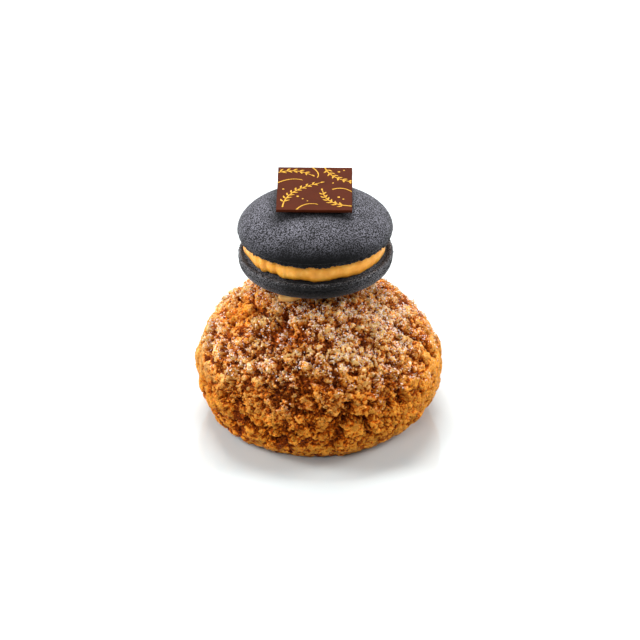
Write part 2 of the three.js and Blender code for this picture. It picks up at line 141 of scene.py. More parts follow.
# Clusters that stand out from the crust: radius and both ends as (azimuth, height).
LUMPS = [
    (2.2, (-49, 35.0), (-38, 36.2)), (1.9, (-46, 37.5), (-43, 37.7)), (1.6, (-53, 29.9), (-48, 32.0)),
    (1.4, (-53, 27.4), (-51, 27.0)), (1.7, (-30, 30.3), (-25, 28.0)), (2.0, (-19, 31.4), (-14, 31.3)),
    (2.2, (-51, 21.4), (-47, 24.0)), (1.6, (-32, 24.1), (-30, 24.2)), (1.1, (-31, 21.2), (-25, 21.6)),
    (1.4, (-24, 24.9), (-22, 24.0)), (1.7, (-13, 24.0), (-11, 24.2)), (1.5, (-46, 18.8), (-42, 16.1)),
    (1.0, (-37, 20.9), (-36, 18.3)), (1.4, (-87, 27.7), (-78, 26.2)), (2.0, (-64, 27.0), (-60, 24.7)),
    (1.3, (-8, 35.8), (-5, 34.7)), (1.3, (-21, 34.4), (-19, 34.2)), (1.4, (-8, 29.5), (-6, 29.1)),
    (1.7, (-2, 27.8), (0, 28.2)), (1.0, (33, 33.4), (38, 32.3)), (2.1, (32, 23.2), (34, 22.4)),
    (1.6, (27, 20.8), (32, 17.9)), (2.8, (14, 12.3), (19, 12.6)), (1.7, (16, 17.1), (18, 16.7)),
    (2.1, (26, 13.6), (28, 14.3)), (2.0, (38, 16.0), (42, 13.4)), (2.0, (18, 22.8), (18, 21.2)),
    (1.4, (39, 25.9), (41, 25.3)), (1.7, (51, 20.0), (53, 19.4)), (1.4, (3, 10.4), (6, 10.3)),
    (1.3, (6, 7.4), (10, 7.8)), (1.4, (44, 19.2), (46, 18.8)), (1.9, (48, 15.0), (50, 14.4)),
]

NUGGET_COUNT = 2000
NUGGET_RADIUS = (0.35, 0.9)
CRUMB_COUNT = 14500
CRUMB_RADIUS = (0.2, 0.5)
SUGAR_COUNT = 7500
SUGAR_RADIUS = (0.12, 0.34)
CRUMB_FLATNESS = 0.3            # crumbs are pressed into the crust by this share
ROUNDED_POINTS = 20             # a crumb with more points than this is rounded
SELDOM = 1e-6                   # the least weight of any place

SMOOTH_PATCH = (-74.0, 34.0, 11.0)      # azimuth, height and reach of the bare orange patch
BARE_SKIN = (30.0, 27.9, 4.5)
SUGAR_HEAPS = [(18.0, 34.7, 5.5), (-3.0, 38.9, 6.0), (69.0, 35.7, 9.0)]

# ---- The macaron, in its own frame ----

MACARON_CENTRE = (-0.65, 1.57, 52.8)    # in the part's frame
MACARON_ROLL = math.radians(0.9)
SHELL_RADIUS = 21.4
SHELL_SEGMENTS = 400
UPPER_WAIST = 3.3
UPPER_DOME_RISE = 8.95
UPPER_FACE = 1.7
UPPER_FOOT_RADIUS = 20.85
LOWER_FACE = -3.4
LOWER_DOME_DROP = 6.95
LOWER_DOME_POWER = 3.5
LOWER_FOOT_HEIGHT = 1.7
GROOVE_DEPTH = 0.7              # of the dark seam between the cream and the lower shell's rim
FACE_RADIUS = 20.2
GRAIN_SHADE_LEVELS = (3.6, 10.8)       # the pale grain fades out between these heights at the front, as painted shade
FLANK_GRAIN_LIGHT = 4.0                # how much lower the pale grain reaches at the sides, as painted light from the side lamps
PLAQUE_GRAIN_SHADOW = 0.72                  # how much of the pale grain is missing under the plaque and just before it, as the plaque's painted shadow
TOUCH_GAP = 0.3
GRAIN_RISE = 0.035              # relief of the shells' fine grain
FOOT_RISE = 0.32                # relief of the lumps on their feet
FOOT_GRAIN = 0.2
OUTLINE_STEP = 0.32             # between a shell's rows of points

DAB_VOXEL = 0.3
FILLING_RADIUS = 18.7           # at the shells' faces
FILLING_BULGE = 0.95            # how much further it reaches half-way between them
FILLING_GAP = 0.12              # between the cream and each shell's face
# Creases in the cream: azimuth and width in degrees, depth in millimetres.
FOLDS = [(-52.0, 2.2, 0.35), (-44.0, 1.6, 0.4), (-34.0, 2.6, 0.5), (-24.0, 1.5, 0.25),
         (-12.0, 2.5, 0.2), (21.0, 3.5, 0.15), (57.0, 2.5, 0.25), (120.0, 3.0, 0.4),
         (158.0, 2.0, 0.3), (-155.0, 3.0, 0.35), (-120.0, 2.0, 0.4)]

# ---- The plaque ----

PLAQUE_WIDTH = 20.7
PLAQUE_LENGTH = 24.2
PLAQUE_THICKNESS = 0.85
PLAQUE_BEVEL = 0.12
PLAQUE_WAVE = 0.05              # how far the sides wave inwards
PLAQUE_TURN = Euler((math.radians(2.5), math.radians(1.06), math.radians(-0.64)), "XYZ")
PLAQUE_SET_BACK = 5.8           # from where the plaque touches the dome
PLAQUE_SET_LEFT = 0.95
GOLD_THICKNESS = 0.07
GOLD_SUNK = 0.02                # how deep the print is in the chocolate
GOLD_MARGIN = 0.2               # left free along the plaque's edges
GOLD_LINE = 0.4
LEAF_LENGTH = 2.0
LEAF_WIDTH = 0.5
LEAF_TURN = 0.75                # radians off the stem


# ---- Small helpers ----

def mix(low, high, share):
    return low + (high - low) * share


def smoothstep(value, low, high):
    """0 up to the low value, rising to 1 at the high one."""
    share = np.clip((value - low) / (high - low), 0.0, 1.0)
    return share * share * (3.0 - 2.0 * share)


def fade(value, low, high):
    """1 up to the low value, falling to 0 at the high one."""
    return 1.0 - smoothstep(value, low, high)


def lengths(ways):
    return np.linalg.norm(ways, axis=1)


def from_axis(points):
    """How far each point is from the upright axis."""
    return np.hypot(points[:, 0], points[:, 1])


def srgb(red, green, blue):
    """A shader colour from the 0-255 values that it has on a screen."""
    def linear(value):
        value /= 255.0
        return value / 12.92 if value <= 0.04045 else ((value + 0.055) / 1.055) ** 2.4
    return (linear(red), linear(green), linear(blue), 1.0)


def add_object(name, data):
    made = bpy.data.objects.new(name, data)
    bpy.context.scene.collection.objects.link(made)
    return made


def make_piece(name, points, faces, material, smooth=True, **attributes):
    """A mesh object on the pastry's body, from points in millimetres and values for each point."""
    mesh = bpy.data.meshes.new(name)
    mesh.from_pydata((np.asarray(points) * MM).tolist(), [], [list(face) for face in faces])
    mesh.polygons.foreach_set("use_smooth", [smooth] * len(mesh.polygons))
    mesh.materials.append(material)
    for key, values in attributes.items():
        attribute = mesh.attributes.new(key, "FLOAT", "POINT")
        attribute.data.foreach_set("value", np.asarray(values, np.float32))
    mesh.update()
    piece = add_object(name, mesh)
    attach(piece, "root")
    return piece


def remeshed(mesh, voxel):
    """Points in millimetres and quads of an even skin over a mesh."""
    scratch = add_object("scratch", mesh.copy())
    modifier = scratch.modifiers.new("skin", "REMESH")
    modifier.mode = "VOXEL"
    modifier.voxel_size = voxel * MM
    evaluated = scratch.evaluated_get(bpy.context.evaluated_depsgraph_get())
    skin = evaluated.to_mesh()
    points = np.zeros(len(skin.vertices) * 3)
    skin.vertices.foreach_get("co", points)
    corners = np.zeros(len(skin.loops), int)
    skin.loops.foreach_get("vertex_index", corners)
    evaluated.to_mesh_clear()
    bpy.data.objects.remove(scratch)
    return points.reshape(-1, 3) / MM, corners.reshape(-1, 4)


def sides_of(faces):
    """Every face's sides, as pairs of points in the face's own order."""
    return np.stack([faces, np.roll(faces, -1, axis=1)], axis=2).reshape(-1, 2)


def edges_of(faces):
    return np.unique(np.sort(sides_of(faces), axis=1), axis=0)


def smoothed(points, edges, rounds, share=0.6):
    """Points drawn towards their neighbours' middle, round after round."""
    count = len(points)
    neighbours = np.bincount(edges.ravel(), minlength=count)[:, None]
    points = points.copy()
    for _ in range(rounds):
        total = np.zeros_like(points)
        for axis in range(points.shape[1]):
            total[:, axis] = np.bincount(edges[:, 0], points[edges[:, 1], axis], count)
            total[:, axis] += np.bincount(edges[:, 1], points[edges[:, 0], axis], count)
        points += share * (total / neighbours - points)
    return points


def normals_of(points, faces):
    """A unit normal for each point of a mesh of triangles or quads."""
    across = points[faces[:, 2]] - points[faces[:, 0]]
    along = points[faces[:, -1]] - points[faces[:, 1]]
    facing = np.cross(across, along)
    normals = np.zeros_like(points)
    for corner in range(faces.shape[1]):
        for axis in range(3):
            normals[:, axis] += np.bincount(faces[:, corner], facing[:, axis], len(points))
    return normals / np.maximum(lengths(normals), 1e-12)[:, None]


def noise_at(points, scale, octaves=3, shift=0.0):
    """Smooth random values around 0 at the points, with features 1 / scale millimetres wide."""
    places = points * scale + shift
    return np.array([noise.fractal(Vector(p), 0.8, 2.0, octaves) for p in places.tolist()])


def nearest(points, places, count):
    """For each point, its nearest places and how far they are, in columns from the nearest on."""
    tree = kdtree.KDTree(len(places))
    for index, place in enumerate(places.tolist()):
        tree.insert(place, index)
    tree.balance()
    found = [tree.find_n(point, count) for point in points.tolist()]
    owners = np.array([[index for _, index, _ in near] for near in found])
    return owners, np.array([[away for _, _, away in near] for near in found])


# ---- Materials ----

class Shader:
    """A material's node tree, with short calls for the nodes that the finishes share."""

    def __init__(self, name, **constants):
        self.material = bpy.data.materials.new(name)
        self.material.use_nodes = True
        self.tree = self.material.node_tree
        self.surface = self.tree.nodes["Principled BSDF"]
        for socket, value in constants.items():
            self.surface.inputs[socket.replace("_", " ")].default_value = value
        self.place = self.node("TexCoord").outputs["Object"]

    def node(self, kind, inputs=(), **settings):
        """A new node, with its settings and, by name or number, its inputs."""
        made = self.tree.nodes.new("ShaderNode" + kind)
        for key, value in settings.items():
            setattr(made, key, value)
        for key, source in dict(inputs).items():
            self.link(source, made.inputs[key])
        return made

    def link(self, source, socket):
        """Gives a socket a number, a colour or another node's output."""
        if isinstance(source, (int, float, tuple)):
            socket.default_value = source
        else:
            self.tree.links.new(source, socket)

    def attribute(self, name):
        return self.node("Attribute", attribute_name=name).outputs["Fac"]

    def noise(self, feature, detail=3.0, roughness=0.55):
        """Random values about 0.5, with features of this many millimetres."""
        inputs = {"Vector": self.place, "Scale": 1.0 / (feature * MM)}
        inputs.update(Detail=detail, Roughness=roughness)
        return self.node("TexNoise", inputs).outputs["Fac"]

    def cells(self, feature):
        """How far the nearest of many random centres is, this many millimetres apart."""
        inputs = {"Vector": self.place, "Scale": 1.0 / (feature * MM)}
        return self.node("TexVoronoi", inputs).outputs["Distance"]

    def range(self, value, low, high, to_low=0.0, to_high=1.0):
        """A value carried smoothly from one range to another."""
        inputs = enumerate((value, low, high, to_low, to_high))
        return self.node("MapRange", inputs, interpolation_type="SMOOTHSTEP").outputs["Result"]

    def maths(self, operation, first, *others):
        """A sum or a product, held between 0 and 1 at each step."""
        for other in others:
            made = self.node("Math", {0: first, 1: other}, operation=operation, use_clamp=True)
            first = made.outputs["Value"]
        return first

    def times(self, *factors):
        return self.maths("MULTIPLY", *factors)

    def mix(self, share, first, second, kind="MIX"):
        inputs = {"Factor": share, "A": first, "B": second}
        return self.node("Mix", inputs, data_type="RGBA", blend_type=kind).outputs["Result"]

    def ramp(self, value, *stops):
        """A colour for each value, from stops of (value, colour)."""
        made = self.node("ValToRGB", {"Fac": value})
        elements = made.color_ramp.elements
        elements[0].position, elements[0].color = stops[0]
        elements[1].position, elements[1].color = stops[-1]
        for position, colour in stops[1:-1]:
            elements.new(position).color = colour
        return made.outputs["Color"]

    def facing_up(self):
        """1 where the surface faces up, 0 on a wall and less than 0 underneath."""
        normal = self.node("NewGeometry").outputs["Normal"]
        return self.node("SeparateXYZ", {"Vector": normal}).outputs["Z"]

    def bump(self, height, depth, strength=1.0, under=None):
        """Relief of this many millimetres from values between 0 and 1, over any relief under it."""
        inputs = {"Height": height, "Distance": depth * MM, "Strength": strength}
        if under is not None:
            inputs["Normal"] = under
        return self.node("Bump", inputs).outputs["Normal"]

    def finish(self, colour, roughness, normal):
        for name, source in (("Base Color", colour), ("Roughness", roughness), ("Normal", normal)):
            self.link(source, self.surface.inputs[name])
        return self.material


def crust_material():
    """Baked biscuit: dark in the cracks, partly as painted shade, golden to pale on the crumbs' tops, partly
    as painted highlight, dusted with sugar near the top.
    """
    shader = Shader("crackled_crust", Specular_IOR_Level=0.05)
    height, tint, warmth, dust = map(shader.attribute, ("height", "tint", "warmth", "dust"))
    fine = shader.noise(0.55, 4.0, 0.65)
    grit = shader.range(shader.noise(0.7, 3.0, 0.7), 0.42, 0.58)
    exposed = shader.range(height, 0.1, 0.5, 0.15, 0.22)
    # painted shade and highlight: the height attribute darkens the cracks and lightens the crumbs' tops,
    # over the crust's own random tones
    tone_and_shade_level = shader.maths("ADD", shader.times(height, 0.7), shader.times(fine, 0.18),
                         shader.times(grit, exposed))
    golden = shader.ramp(tone_and_shade_level,
                         (0.12, srgb(60, 18, 4)),
                         (0.26, srgb(144, 66, 20)),
                         (0.4, srgb(222, 120, 38)),
                         (0.56, srgb(255, 168, 66)),
                         (0.8, srgb(255, 210, 132)))
    orange = shader.ramp(tone_and_shade_level,
                         (0.12, srgb(68, 18, 1)),
                         (0.27, srgb(160, 70, 8)),
                         (0.43, srgb(232, 114, 16)),
                         (0.74, srgb(255, 168, 60)))
    colour = shader.mix(warmth, golden, orange)
    darker = shader.range(tint, 0.0, 1.0, 0.76, 1.14)
    grey = shader.node("CombineColor", enumerate([darker] * 3)).outputs["Color"]
    colour = shader.mix(1.0, colour, grey, "MULTIPLY")
    burnt = shader.range(shader.noise(7.0, 2.0), 0.52, 0.72, 0.0, 0.35)
    colour = shader.mix(burnt, colour, srgb(128, 50, 18))
    # painted shade: small dark pits stand in for the shade inside the crust's pores
    pore_shade = shader.range(shader.noise(0.9, 3.0, 0.7), 0.35, 0.42, 0.7, 0.0)
    colour = shader.mix(pore_shade, colour, srgb(96, 34, 6))
    speckle = shader.range(shader.noise(0.7, 3.0, 0.7), 0.54, 0.58)
    upward = shader.range(shader.facing_up(), 0.2, 0.7)
    powder = shader.times(speckle, upward, dust)
    colour = shader.mix(powder, colour, srgb(255, 234, 220))
    gloss = shader.range(shader.noise(0.9, 2.0), 0.35, 0.7, 0.3, 0.6)
    relief = shader.bump(shader.cells(0.8), 0.45, 1.0)
    relief = shader.bump(grit, 0.24, 1.0, relief)
    return shader.finish(colour, gloss, relief)


def sugar_material():
    """Icing sugar: a warm white that hardly varies."""
    shader = Shader("icing_sugar")
    grain = shader.noise(0.15)
    colour = shader.mix(grain, srgb(240, 216, 204), srgb(252, 242, 238))
    return shader.finish(colour, 0.6, shader.bump(grain, 0.05))


def shell_material(name, dark, pale, rim):
    """A matt almond shell: fine pale grain on black, with pale flecks along its rough foot; where the pale
    grain shows also paints light and shade.
    """
    shader = Shader(name, Specular_IOR_Level=0.1, Sheen_Weight=0.12, Sheen_Roughness=0.4)
    grain = shader.noise(0.34, 2.0, 0.6)
    rough, dusty = map(shader.attribute, ("rough", "dusty"))
    cloud = shader.range(shader.noise(6.0, 2.0), 0.3, 0.7, 0.7, 1.0)
    # painted light and shade: the pale grain shows less where the shell is shaded and more where the lamps
    # fall
    share = shader.times(shader.range(grain, 0.47, 0.56), cloud, dusty)
    colour = shader.mix(share, dark, pale)
    fleck = shader.range(shader.noise(0.3, 1.0), 0.56, 0.66)
    # the pale flecks also fade with the painted shade
    flecked = shader.times(fleck, shader.range(rough, 0.55, 1.0),
                           shader.range(dusty, 0.0, 1.0, 0.35, 1.0))
    colour = shader.mix(flecked, colour, rim)
    relief = shader.bump(grain, 0.16, 0.9)
    relief = shader.bump(shader.cells(0.7), 0.1, 0.5, relief)
    return shader.finish(colour, 0.68, relief)


def cream_material(name, deep, middle, pale):
    """Caramel cream: smooth and slightly waxy, in three shades that run into each other."""
    shader = Shader(name, Specular_IOR_Level=0.4, Subsurface_Weight=0.25,
                    Subsurface_Radius=(1.0, 0.45, 0.15), Subsurface_Scale=0.0012)
    cloud = shader.noise(2.6, 3.0)
    colour = shader.ramp(cloud, (0.3, deep), (0.55, middle), (0.75, pale))
    relief = shader.bump(shader.noise(0.8, 3.0), 0.1, 0.5)
    return shader.finish(colour, 0.42, relief)


def chocolate_material():
    """Tempered chocolate: dark and even, with a soft gloss."""
    shader = Shader("printed_chocolate", Specular_IOR_Level=0.02)
    cloud = shader.noise(5.0, 3.0)
    colour = shader.mix(cloud, srgb(59, 24, 12), srgb(77, 34, 18))
    relief = shader.bump(shader.noise(1.6, 3.0), 0.02, 0.6)
    gloss = shader.range(cloud, 0.3, 0.7, 0.3, 0.42)
    return shader.finish(colour, gloss, relief)


def gold_material():
    """Gold print: a matt metallic ink."""
    shader = Shader("gold_print", Metallic=0.2, Specular_IOR_Level=0.2)
    grain = shader.noise(0.3, 3.0)
    colour = shader.mix(shader.range(grain, 0.35, 0.65), srgb(164, 116, 14), srgb(198, 150, 30))
    return shader.finish(colour, 0.4, shader.bump(grain, 0.03, 0.6))


def floor_material():
    """The white floor: smooth enough to mirror the pastry a little."""
    shader = Shader("white_floor", IOR=1.5)
    cloud = shader.noise(900.0, 2.0)
    low, high = ([share * FLOOR_ALBEDO * channel for channel in FLOOR_TINT] for share in (0.99, 1.01))
    colour = shader.mix(cloud, (*low, 1.0), (*high, 1.0))
    return shader.finish(colour, 0.03, shader.bump(cloud, 0.001, 0.05))


# ---- The crust's surface ----

def spread_points(points, faces, count, seed, weight=None):
    """Random places over a mesh, even by area times an optional weight for each point."""
    draw = np.random.default_rng(seed)
    corners = points[faces[:, :3]]
    area = lengths(np.cross(corners[:, 1] - corners[:, 0], corners[:, 2] - corners[:, 0]))
    if weight is not None:
        area = area * weight[faces].mean(axis=1)
    chosen = draw.choice(len(faces), count, p=area / area.sum())
    blend = draw.random((count, 2))
    first = points[faces[chosen, 0]]
    across = points[faces[chosen, 1]] - first
    along = points[faces[chosen, -1]] - first
    return first + across * blend[:, :1] + along * blend[:, 1:], chosen


def thinned(places, room):
    """The places left when none is nearer to an earlier one than its room."""
    grid = {}
    cell = room.max()
    kept = []
    for index, (place, reach) in enumerate(zip(places.tolist(), room.tolist())):
        key = tuple(int(math.floor(c / cell)) for c in place)
        near = (
            other
            for dx in (-1, 0, 1) for dy in (-1, 0, 1) for dz in (-1, 0, 1)
            for other in grid.get((key[0] + dx, key[1] + dy, key[2] + dz), ())
        )
        if all(math.dist(place, places[other]) >= reach for other in near):
            grid.setdefault(key, []).append(index)
            kept.append(index)
    return np.array(kept)


def granule_relief(points, seeds):
    """Height of the crust's granules at each point, and the granule that it belongs to."""
    draw = np.random.default_rng(12)
    lift = draw.normal(0.0, GRANULE_LIFT, len(seeds))
    tilt = draw.normal(0.0, GRANULE_TILT, (len(seeds), 3))
    warp = np.stack([noise_at(points, WARP_SCALE, 2, 31.0 * axis) for axis in (1, 2, 3)], axis=1)
    places = points + WARP_REACH * warp
    owners, away = nearest(places, seeds, 2)
    own = owners[:, 0]
    gap = smoothstep(away[:, 1] - away[:, 0], 0.0, GRANULE_GAP)
    slope = ((places - seeds[own]) * tilt[own]).sum(axis=1)
    relief = GRANULE_HEIGHT * gap + lift[own] * gap + np.clip(slope, -0.5, 0.5) * gap
    return relief, own


def bun_point(azimuth, height):
    """The place on the bun's plain outline at an azimuth in degrees and a height."""
    if height >= WAIST_HEIGHT:
        share = (height - WAIST_HEIGHT) / CROWN_RISE
        radius = BUN_RADIUS * (1.0 - share ** CROWN_HEIGHT_POWER) ** (1.0 / CROWN_RADIUS_POWER)
    else:
        share = 1.0 - height / WAIST_HEIGHT
        bulge = (1.0 - share ** SKIRT_POWER) ** (1.0 / SKIRT_POWER)
        radius = mix(BASE_RADIUS, BUN_RADIUS, bulge)
    angle = math.radians(azimuth)
    return np.array([radius * math.sin(angle), -radius * math.cos(angle), height])


def zone(points, azimuth, height, reach):
    """1 at a place on the bun, falling to 0 at the reach."""
    away = lengths(points - bun_point(azimuth, height))
    return fade(away, 0.25 * reach, reach)


def flank(points):
    """1 on the bun's left and right sides, 0 on its front, back and top."""
    return smoothstep(np.abs(points[:, 0]), 25.0, 33.0)


def above_foot(points):
    """0 at the bun's foot, rising to 1 at its widest place."""
    return smoothstep(points[:, 2], 2.0, 12.0)


def distance_to_path(points, path):
    """How far each point is from a path of (azimuth, height) over the bun."""
    away = np.full(len(points), np.inf)
    for start, end in zip(path, path[1:]):
        length = np.linalg.norm(bun_point(*start) - bun_point(*end))
        steps = max(2, round(length / 0.5))
        for k in range(steps + 1):
            place = bun_point(mix(start[0], end[0], k / steps), mix(start[1], end[1], k / steps))
            away = np.minimum(away, lengths(points - place))
    return away


def crevice_depth(points, wobble):
    """How deep the named cracks cut at each point."""
    depth = np.zeros(len(points))
    for deepest, half_width, *path in CREVICES:
        edge = CREVICE_WIDTH * half_width * (1.0 + wobble)
        away = distance_to_path(points, path)
        depth = np.maximum(depth, deepest * fade(away, 0.3 * edge, 1.5 * edge))
    return depth


def place_lumps(points, faces):
    """Middle, radius and rise of the named lumps and of stray ones between them."""
    middles, radii = [], []
    for radius, *ends in LUMPS:
        for share in (0.0, 0.5, 1.0):
            azimuth, height = (mix(a, b, share) for a, b in zip(*ends))
            middles.append(bun_point(azimuth, height))
            radii.append(radius)
    draw = np.random.default_rng(31)
    strays, _ = spread_points(points, faces, STRAY_LUMPS, 30)
    strays = strays[thinned(strays, draw.uniform(*STRAY_ROOM, len(strays)))]
    away = np.linalg.norm(strays[:, None] - np.array(middles), axis=2) - np.array(radii)
    strays = strays[away.min(axis=1) > STRAY_RADIUS[1]]
    calm = (1.0 - flank(strays)) * (1.0 - 0.6 * zone(strays, *PLATES)) * above_foot(strays)
    plates = 1.0 - 0.5 * zone(np.array(middles), *PLATES)
    rises = np.concatenate([LUMP_RISE * plates, draw.uniform(*STRAY_RISE, len(strays)) * calm])
    radii = np.concatenate([radii, draw.uniform(*STRAY_RADIUS, len(strays))])
    return np.vstack([middles, strays]), radii, rises


def lump_shares(points, faces, wobble):
    """How high the lumps raise each point; 1 on them; and, apart, 1 in the gaps around them."""
    middles, radii, rises = place_lumps(points, faces)
    owners, distances = nearest(points, middles, 4)
    lump, moat, rise = np.zeros((3, len(points)))
    for owner, distance in zip(owners.T, distances.T):
        away = distance / (1.0 + wobble)
        share = fade(away / radii[owner], 0.8, 1.08)
        rise = np.maximum(rise, share * rises[owner])
        lump = np.maximum(lump, share)
        ring = fade(away - radii[owner], 0.3, 1.0)
        moat = np.maximum(moat, ring * rises[owner] / LUMP_RISE)
    return rise, lump, moat * (1.0 - lump)


def crust_values(points, height):
    """For each point: how orange the crust is and how much sugar lies on it."""
    cloud = noise_at(points, 0.11, 3, 7.0)
    warmth = np.clip(0.35 + 0.9 * cloud, 0.0, 1.0)
    warmth = np.maximum(warmth, zone(points, *SMOOTH_PATCH))
    right = smoothstep(points[:, 0], 4.0, 24.0)
    warmth = np.maximum(warmth, fade(points[:, 2] - 6.0 * right, 12.0, 30.0))
    heap = noise_at(points, 0.2, 3, 19.0)
    dust = smoothstep(points[:, 2] + 9.0 * heap, 15.0, 30.0)
    dust *= mix(0.35, 1.0, smoothstep(heap, -0.3, 0.4)) * smoothstep(height, 0.25, 0.6)
    for heap_zone in SUGAR_HEAPS:
        dust = np.maximum(dust, zone(points, *heap_zone) * smoothstep(height, 0.3, 0.6))
    dust *= 1.0 - 0.85 * zone(points, *SMOOTH_PATCH)
    return warmth, np.clip(dust, 0.0, 1.0)


def without_base(points, faces):
    """The points and faces kept when the flat underside goes, and the ring of points around it."""
    under = (points[faces][:, :, 2] < BASE_KEPT).all(axis=1)
    kept = faces[~under]
    there = set(map(tuple, sides_of(kept).tolist()))
    after = {b: a for a, b in there if (b, a) not in there}
    ring = [min(after)]
    while after[ring[-1]] != ring[0]:
        ring.append(after[ring[-1]])
    used = np.unique(kept)
    renumbered = np.zeros(len(points), int)
    renumbered[used] = np.arange(len(used))
    return used, renumbered[kept], [int(renumbered[k]) for k in ring]


def coarse_relief(points, faces, clump):
    """How far clumps, clusters, lumps and cracks move each point out, and where it lies among them."""
    ragged = noise_at(points, 1.1, 3, 50.0)
    clusters = noise_at(points, CLUSTER_SCALE, 3, 90.0)
    gap_level = np.quantile(clusters, CLUSTER_GAPS)
    clusters = clusters + 0.2 * ragged + PLATE_CLOSING * zone(points, *PLATES)
    clusters = clusters - FRONT_GAP_OPENING * zone(points, *SHADED_OPEN_FRONT)
    clusters = clusters - FOOT_OPENING * fade(points[:, 2], 3.0, 13.0)
    clusters = smoothstep(clusters, gap_level - 0.08, gap_level + 0.1)
    rise, lump, moat = lump_shares(points, faces, 0.6 * ragged)
    plateau = smoothstep(clump + EDGE_RAGGED * ragged, CLUMP_FOOT, CLUMP_BROW)
    plateau = np.maximum(plateau, lump)
    clusters = np.maximum(clusters * (1.0 - moat), lump)
    crevice = crevice_depth(points, 0.5 * ragged)
    plateau = plateau * fade(crevice, 0.2, 0.9)
    top = CLUMP_TOP + CLUMP_SWELL * (clump - CLUMP_TOP) + rise - CLUSTER_DEPTH * (1.0 - clusters)
    relief = mix(CLUMP_FLOOR, top, plateau) - clump - CREVICE_CUT * crevice
    return relief, plateau * clusters, lump, crevice


def fine_relief(points, faces, plateau, lump):
    """How far granules and crumble move each point out, and a random value for each granule."""
    seeds, _ = spread_points(points, faces, GRANULE_COUNT, 5)
    draw = np.random.default_rng(6)
    seeds = seeds[thinned(seeds, draw.uniform(*GRANULE_ROOM, len(seeds)))]
    relief, own = granule_relief(points, seeds)
    crumble = noise_at(points, CRUMBLE_SCALE, 4, 3.0)
    relief = (relief - 0.7 * GRANULE_HEIGHT + CRUMBLE_HEIGHT * crumble) * mix(0.7, 1.0, plateau)
    relief *= (1.0 - LUMP_CALM * lump) * (1.0 - SIDE_CALM * flank(points))
    relief *= 1.0 - 0.6 * zone(points, *SMOOTH_PATCH)
    return relief, np.random.default_rng(8).random(len(seeds))[own]


def relief_strength(points):
    """0 on the ground and under the macaron, low along the bun's foot, 1 elsewhere."""
    off_seat = smoothstep(from_axis(points), SEAT_RADIUS - 1.5, SEAT_RADIUS + 1.5)
    strength = np.where(points[:, 2] > SEAT_HEIGHT, off_seat, 1.0)
    strength = strength * smoothstep(points[:, 2], BASE_KEPT, 4.0 * BASE_KEPT)
    return strength * mix(0.3, 1.0, above_foot(points))


def crust_shade_level(points, relief, plateau, crevice):
    """The value that colours the crust: 0 deep in a crack, 1 on top of a crumb; the dark cracks are partly
    painted shade and the pale tops partly painted highlight.
    """
    lower_half = fade(points[:, 2], 14.0, 28.0)
    bump = smoothstep(relief, np.quantile(relief, 0.2), np.quantile(relief, 0.66))
    hollow, crest = mix(0.13, 0.22, lower_half), mix(0.97, 1.0, lower_half)
    height = mix(0.12 * bump, mix(hollow, crest, bump), plateau)
    # painted shade: the lower middle of the front is coloured darker
    height *= 1.0 - 0.28 * zone(points, *SHADED_OPEN_FRONT)
    return height * fade(crevice, 0.3, 1.1)


def build_crust(material):
    """The bun's own surface: the solid's clumps and cracks, with granules and grit over them."""
    points, faces = remeshed(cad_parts["bun"].data, CRUST_VOXEL)
    edges = edges_of(faces)
    points = smoothed(points, edges, CRUST_SMOOTHING)
    body = smoothed(points, edges, BODY_SMOOTHING)
    outward = normals_of(body, faces)
    used, faces, ring = without_base(points, faces)
    points, body, outward = points[used], body[used], outward[used]
    clump = ((points - body) * outward).sum(axis=1)
    coarse, plateau, lump, crevice = coarse_relief(points, faces, clump)
    fine, tint = fine_relief(points, faces, plateau, lump)
    raised = points + outward * ((coarse + fine) * relief_strength(points))[:, None]
    raised[:, 2] = np.where(points[:, 2] < BASE_KEPT, 0.0, np.maximum(raised[:, 2], 0.0))
    height = crust_shade_level(points, fine, plateau, crevice)
    warmth, dust = crust_values(points, height)
    piece = make_piece("bun_crust", raised, faces.tolist() + [ring], material,
                       height=height, tint=tint, warmth=warmth, dust=dust)
    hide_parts("bun")
    return {"points": raised, "faces": faces, "plateau": plateau, "outward": outward, "lump": lump}


# ---- Loose crumbs ----

def crumb_shapes(count, corners, rounded, seed):
    """Angular crumbs of radius 1: hulls of a few points, rounded off if asked."""
    draw = np.random.default_rng(seed)
    shapes = []
    for _ in range(count):
        mesh = bmesh.new()
        for _ in range(corners):
            way = draw.normal(size=3)
            way *= draw.uniform(0.8, 1.1) / np.linalg.norm(way)
            mesh.verts.new(way * np.array([1.0, 0.85, 0.72]))
        hull = bmesh.ops.convex_hull(mesh, input=mesh.verts)
        loose = [v for v in hull["geom_interior"] if isinstance(v, bmesh.types.BMVert)]
        bmesh.ops.delete(mesh, geom=loose, context="VERTS")
        if rounded:
            bmesh.ops.subdivide_edges(mesh, edges=mesh.edges, cuts=1, use_grid_fill=True)
            bmesh.ops.smooth_vert(mesh, verts=mesh.verts, factor=0.5,
                                  use_axis_x=True, use_axis_y=True, use_axis_z=True)
        bmesh.ops.triangulate(mesh, faces=mesh.faces)
        mesh.verts.index_update()
        points = np.array([v.co for v in mesh.verts])
        triangles = np.array([[v.index for v in face.verts] for face in mesh.faces])
        shapes.append((points, triangles))
        mesh.free()
    return shapes


def random_turns(count, draw):
    """Rotation matrices, from random quaternions."""
    quaternions = [Quaternion(q).normalized() for q in draw.normal(size=(count, 4))]
    return [np.array(quaternion.to_matrix()) for quaternion in quaternions]


def scattered(shapes, places, facing, radii, seed):
    """One mesh of many crumbs, with a shape, a turn and a size each. Also each point's crumb."""
    draw = np.random.default_rng(seed)
    turns = random_turns(len(places), draw)
    kinds = draw.integers(len(shapes), size=len(places))
    points, faces, owners, start = [], [], [], 0
    for index, (place, up, radius) in enumerate(zip(places, facing, radii)):
        shape, triangles = shapes[kinds[index]]
        crumb = shape * radius @ turns[index].T
        crumb -= CRUMB_FLATNESS * np.outer(crumb @ up, up)
        points.append(crumb + place)
        faces.append(triangles + start)
        owners.append(np.full(len(shape), index))
        start += len(shape)
    return np.concatenate(points), np.concatenate(faces), np.concatenate(owners)


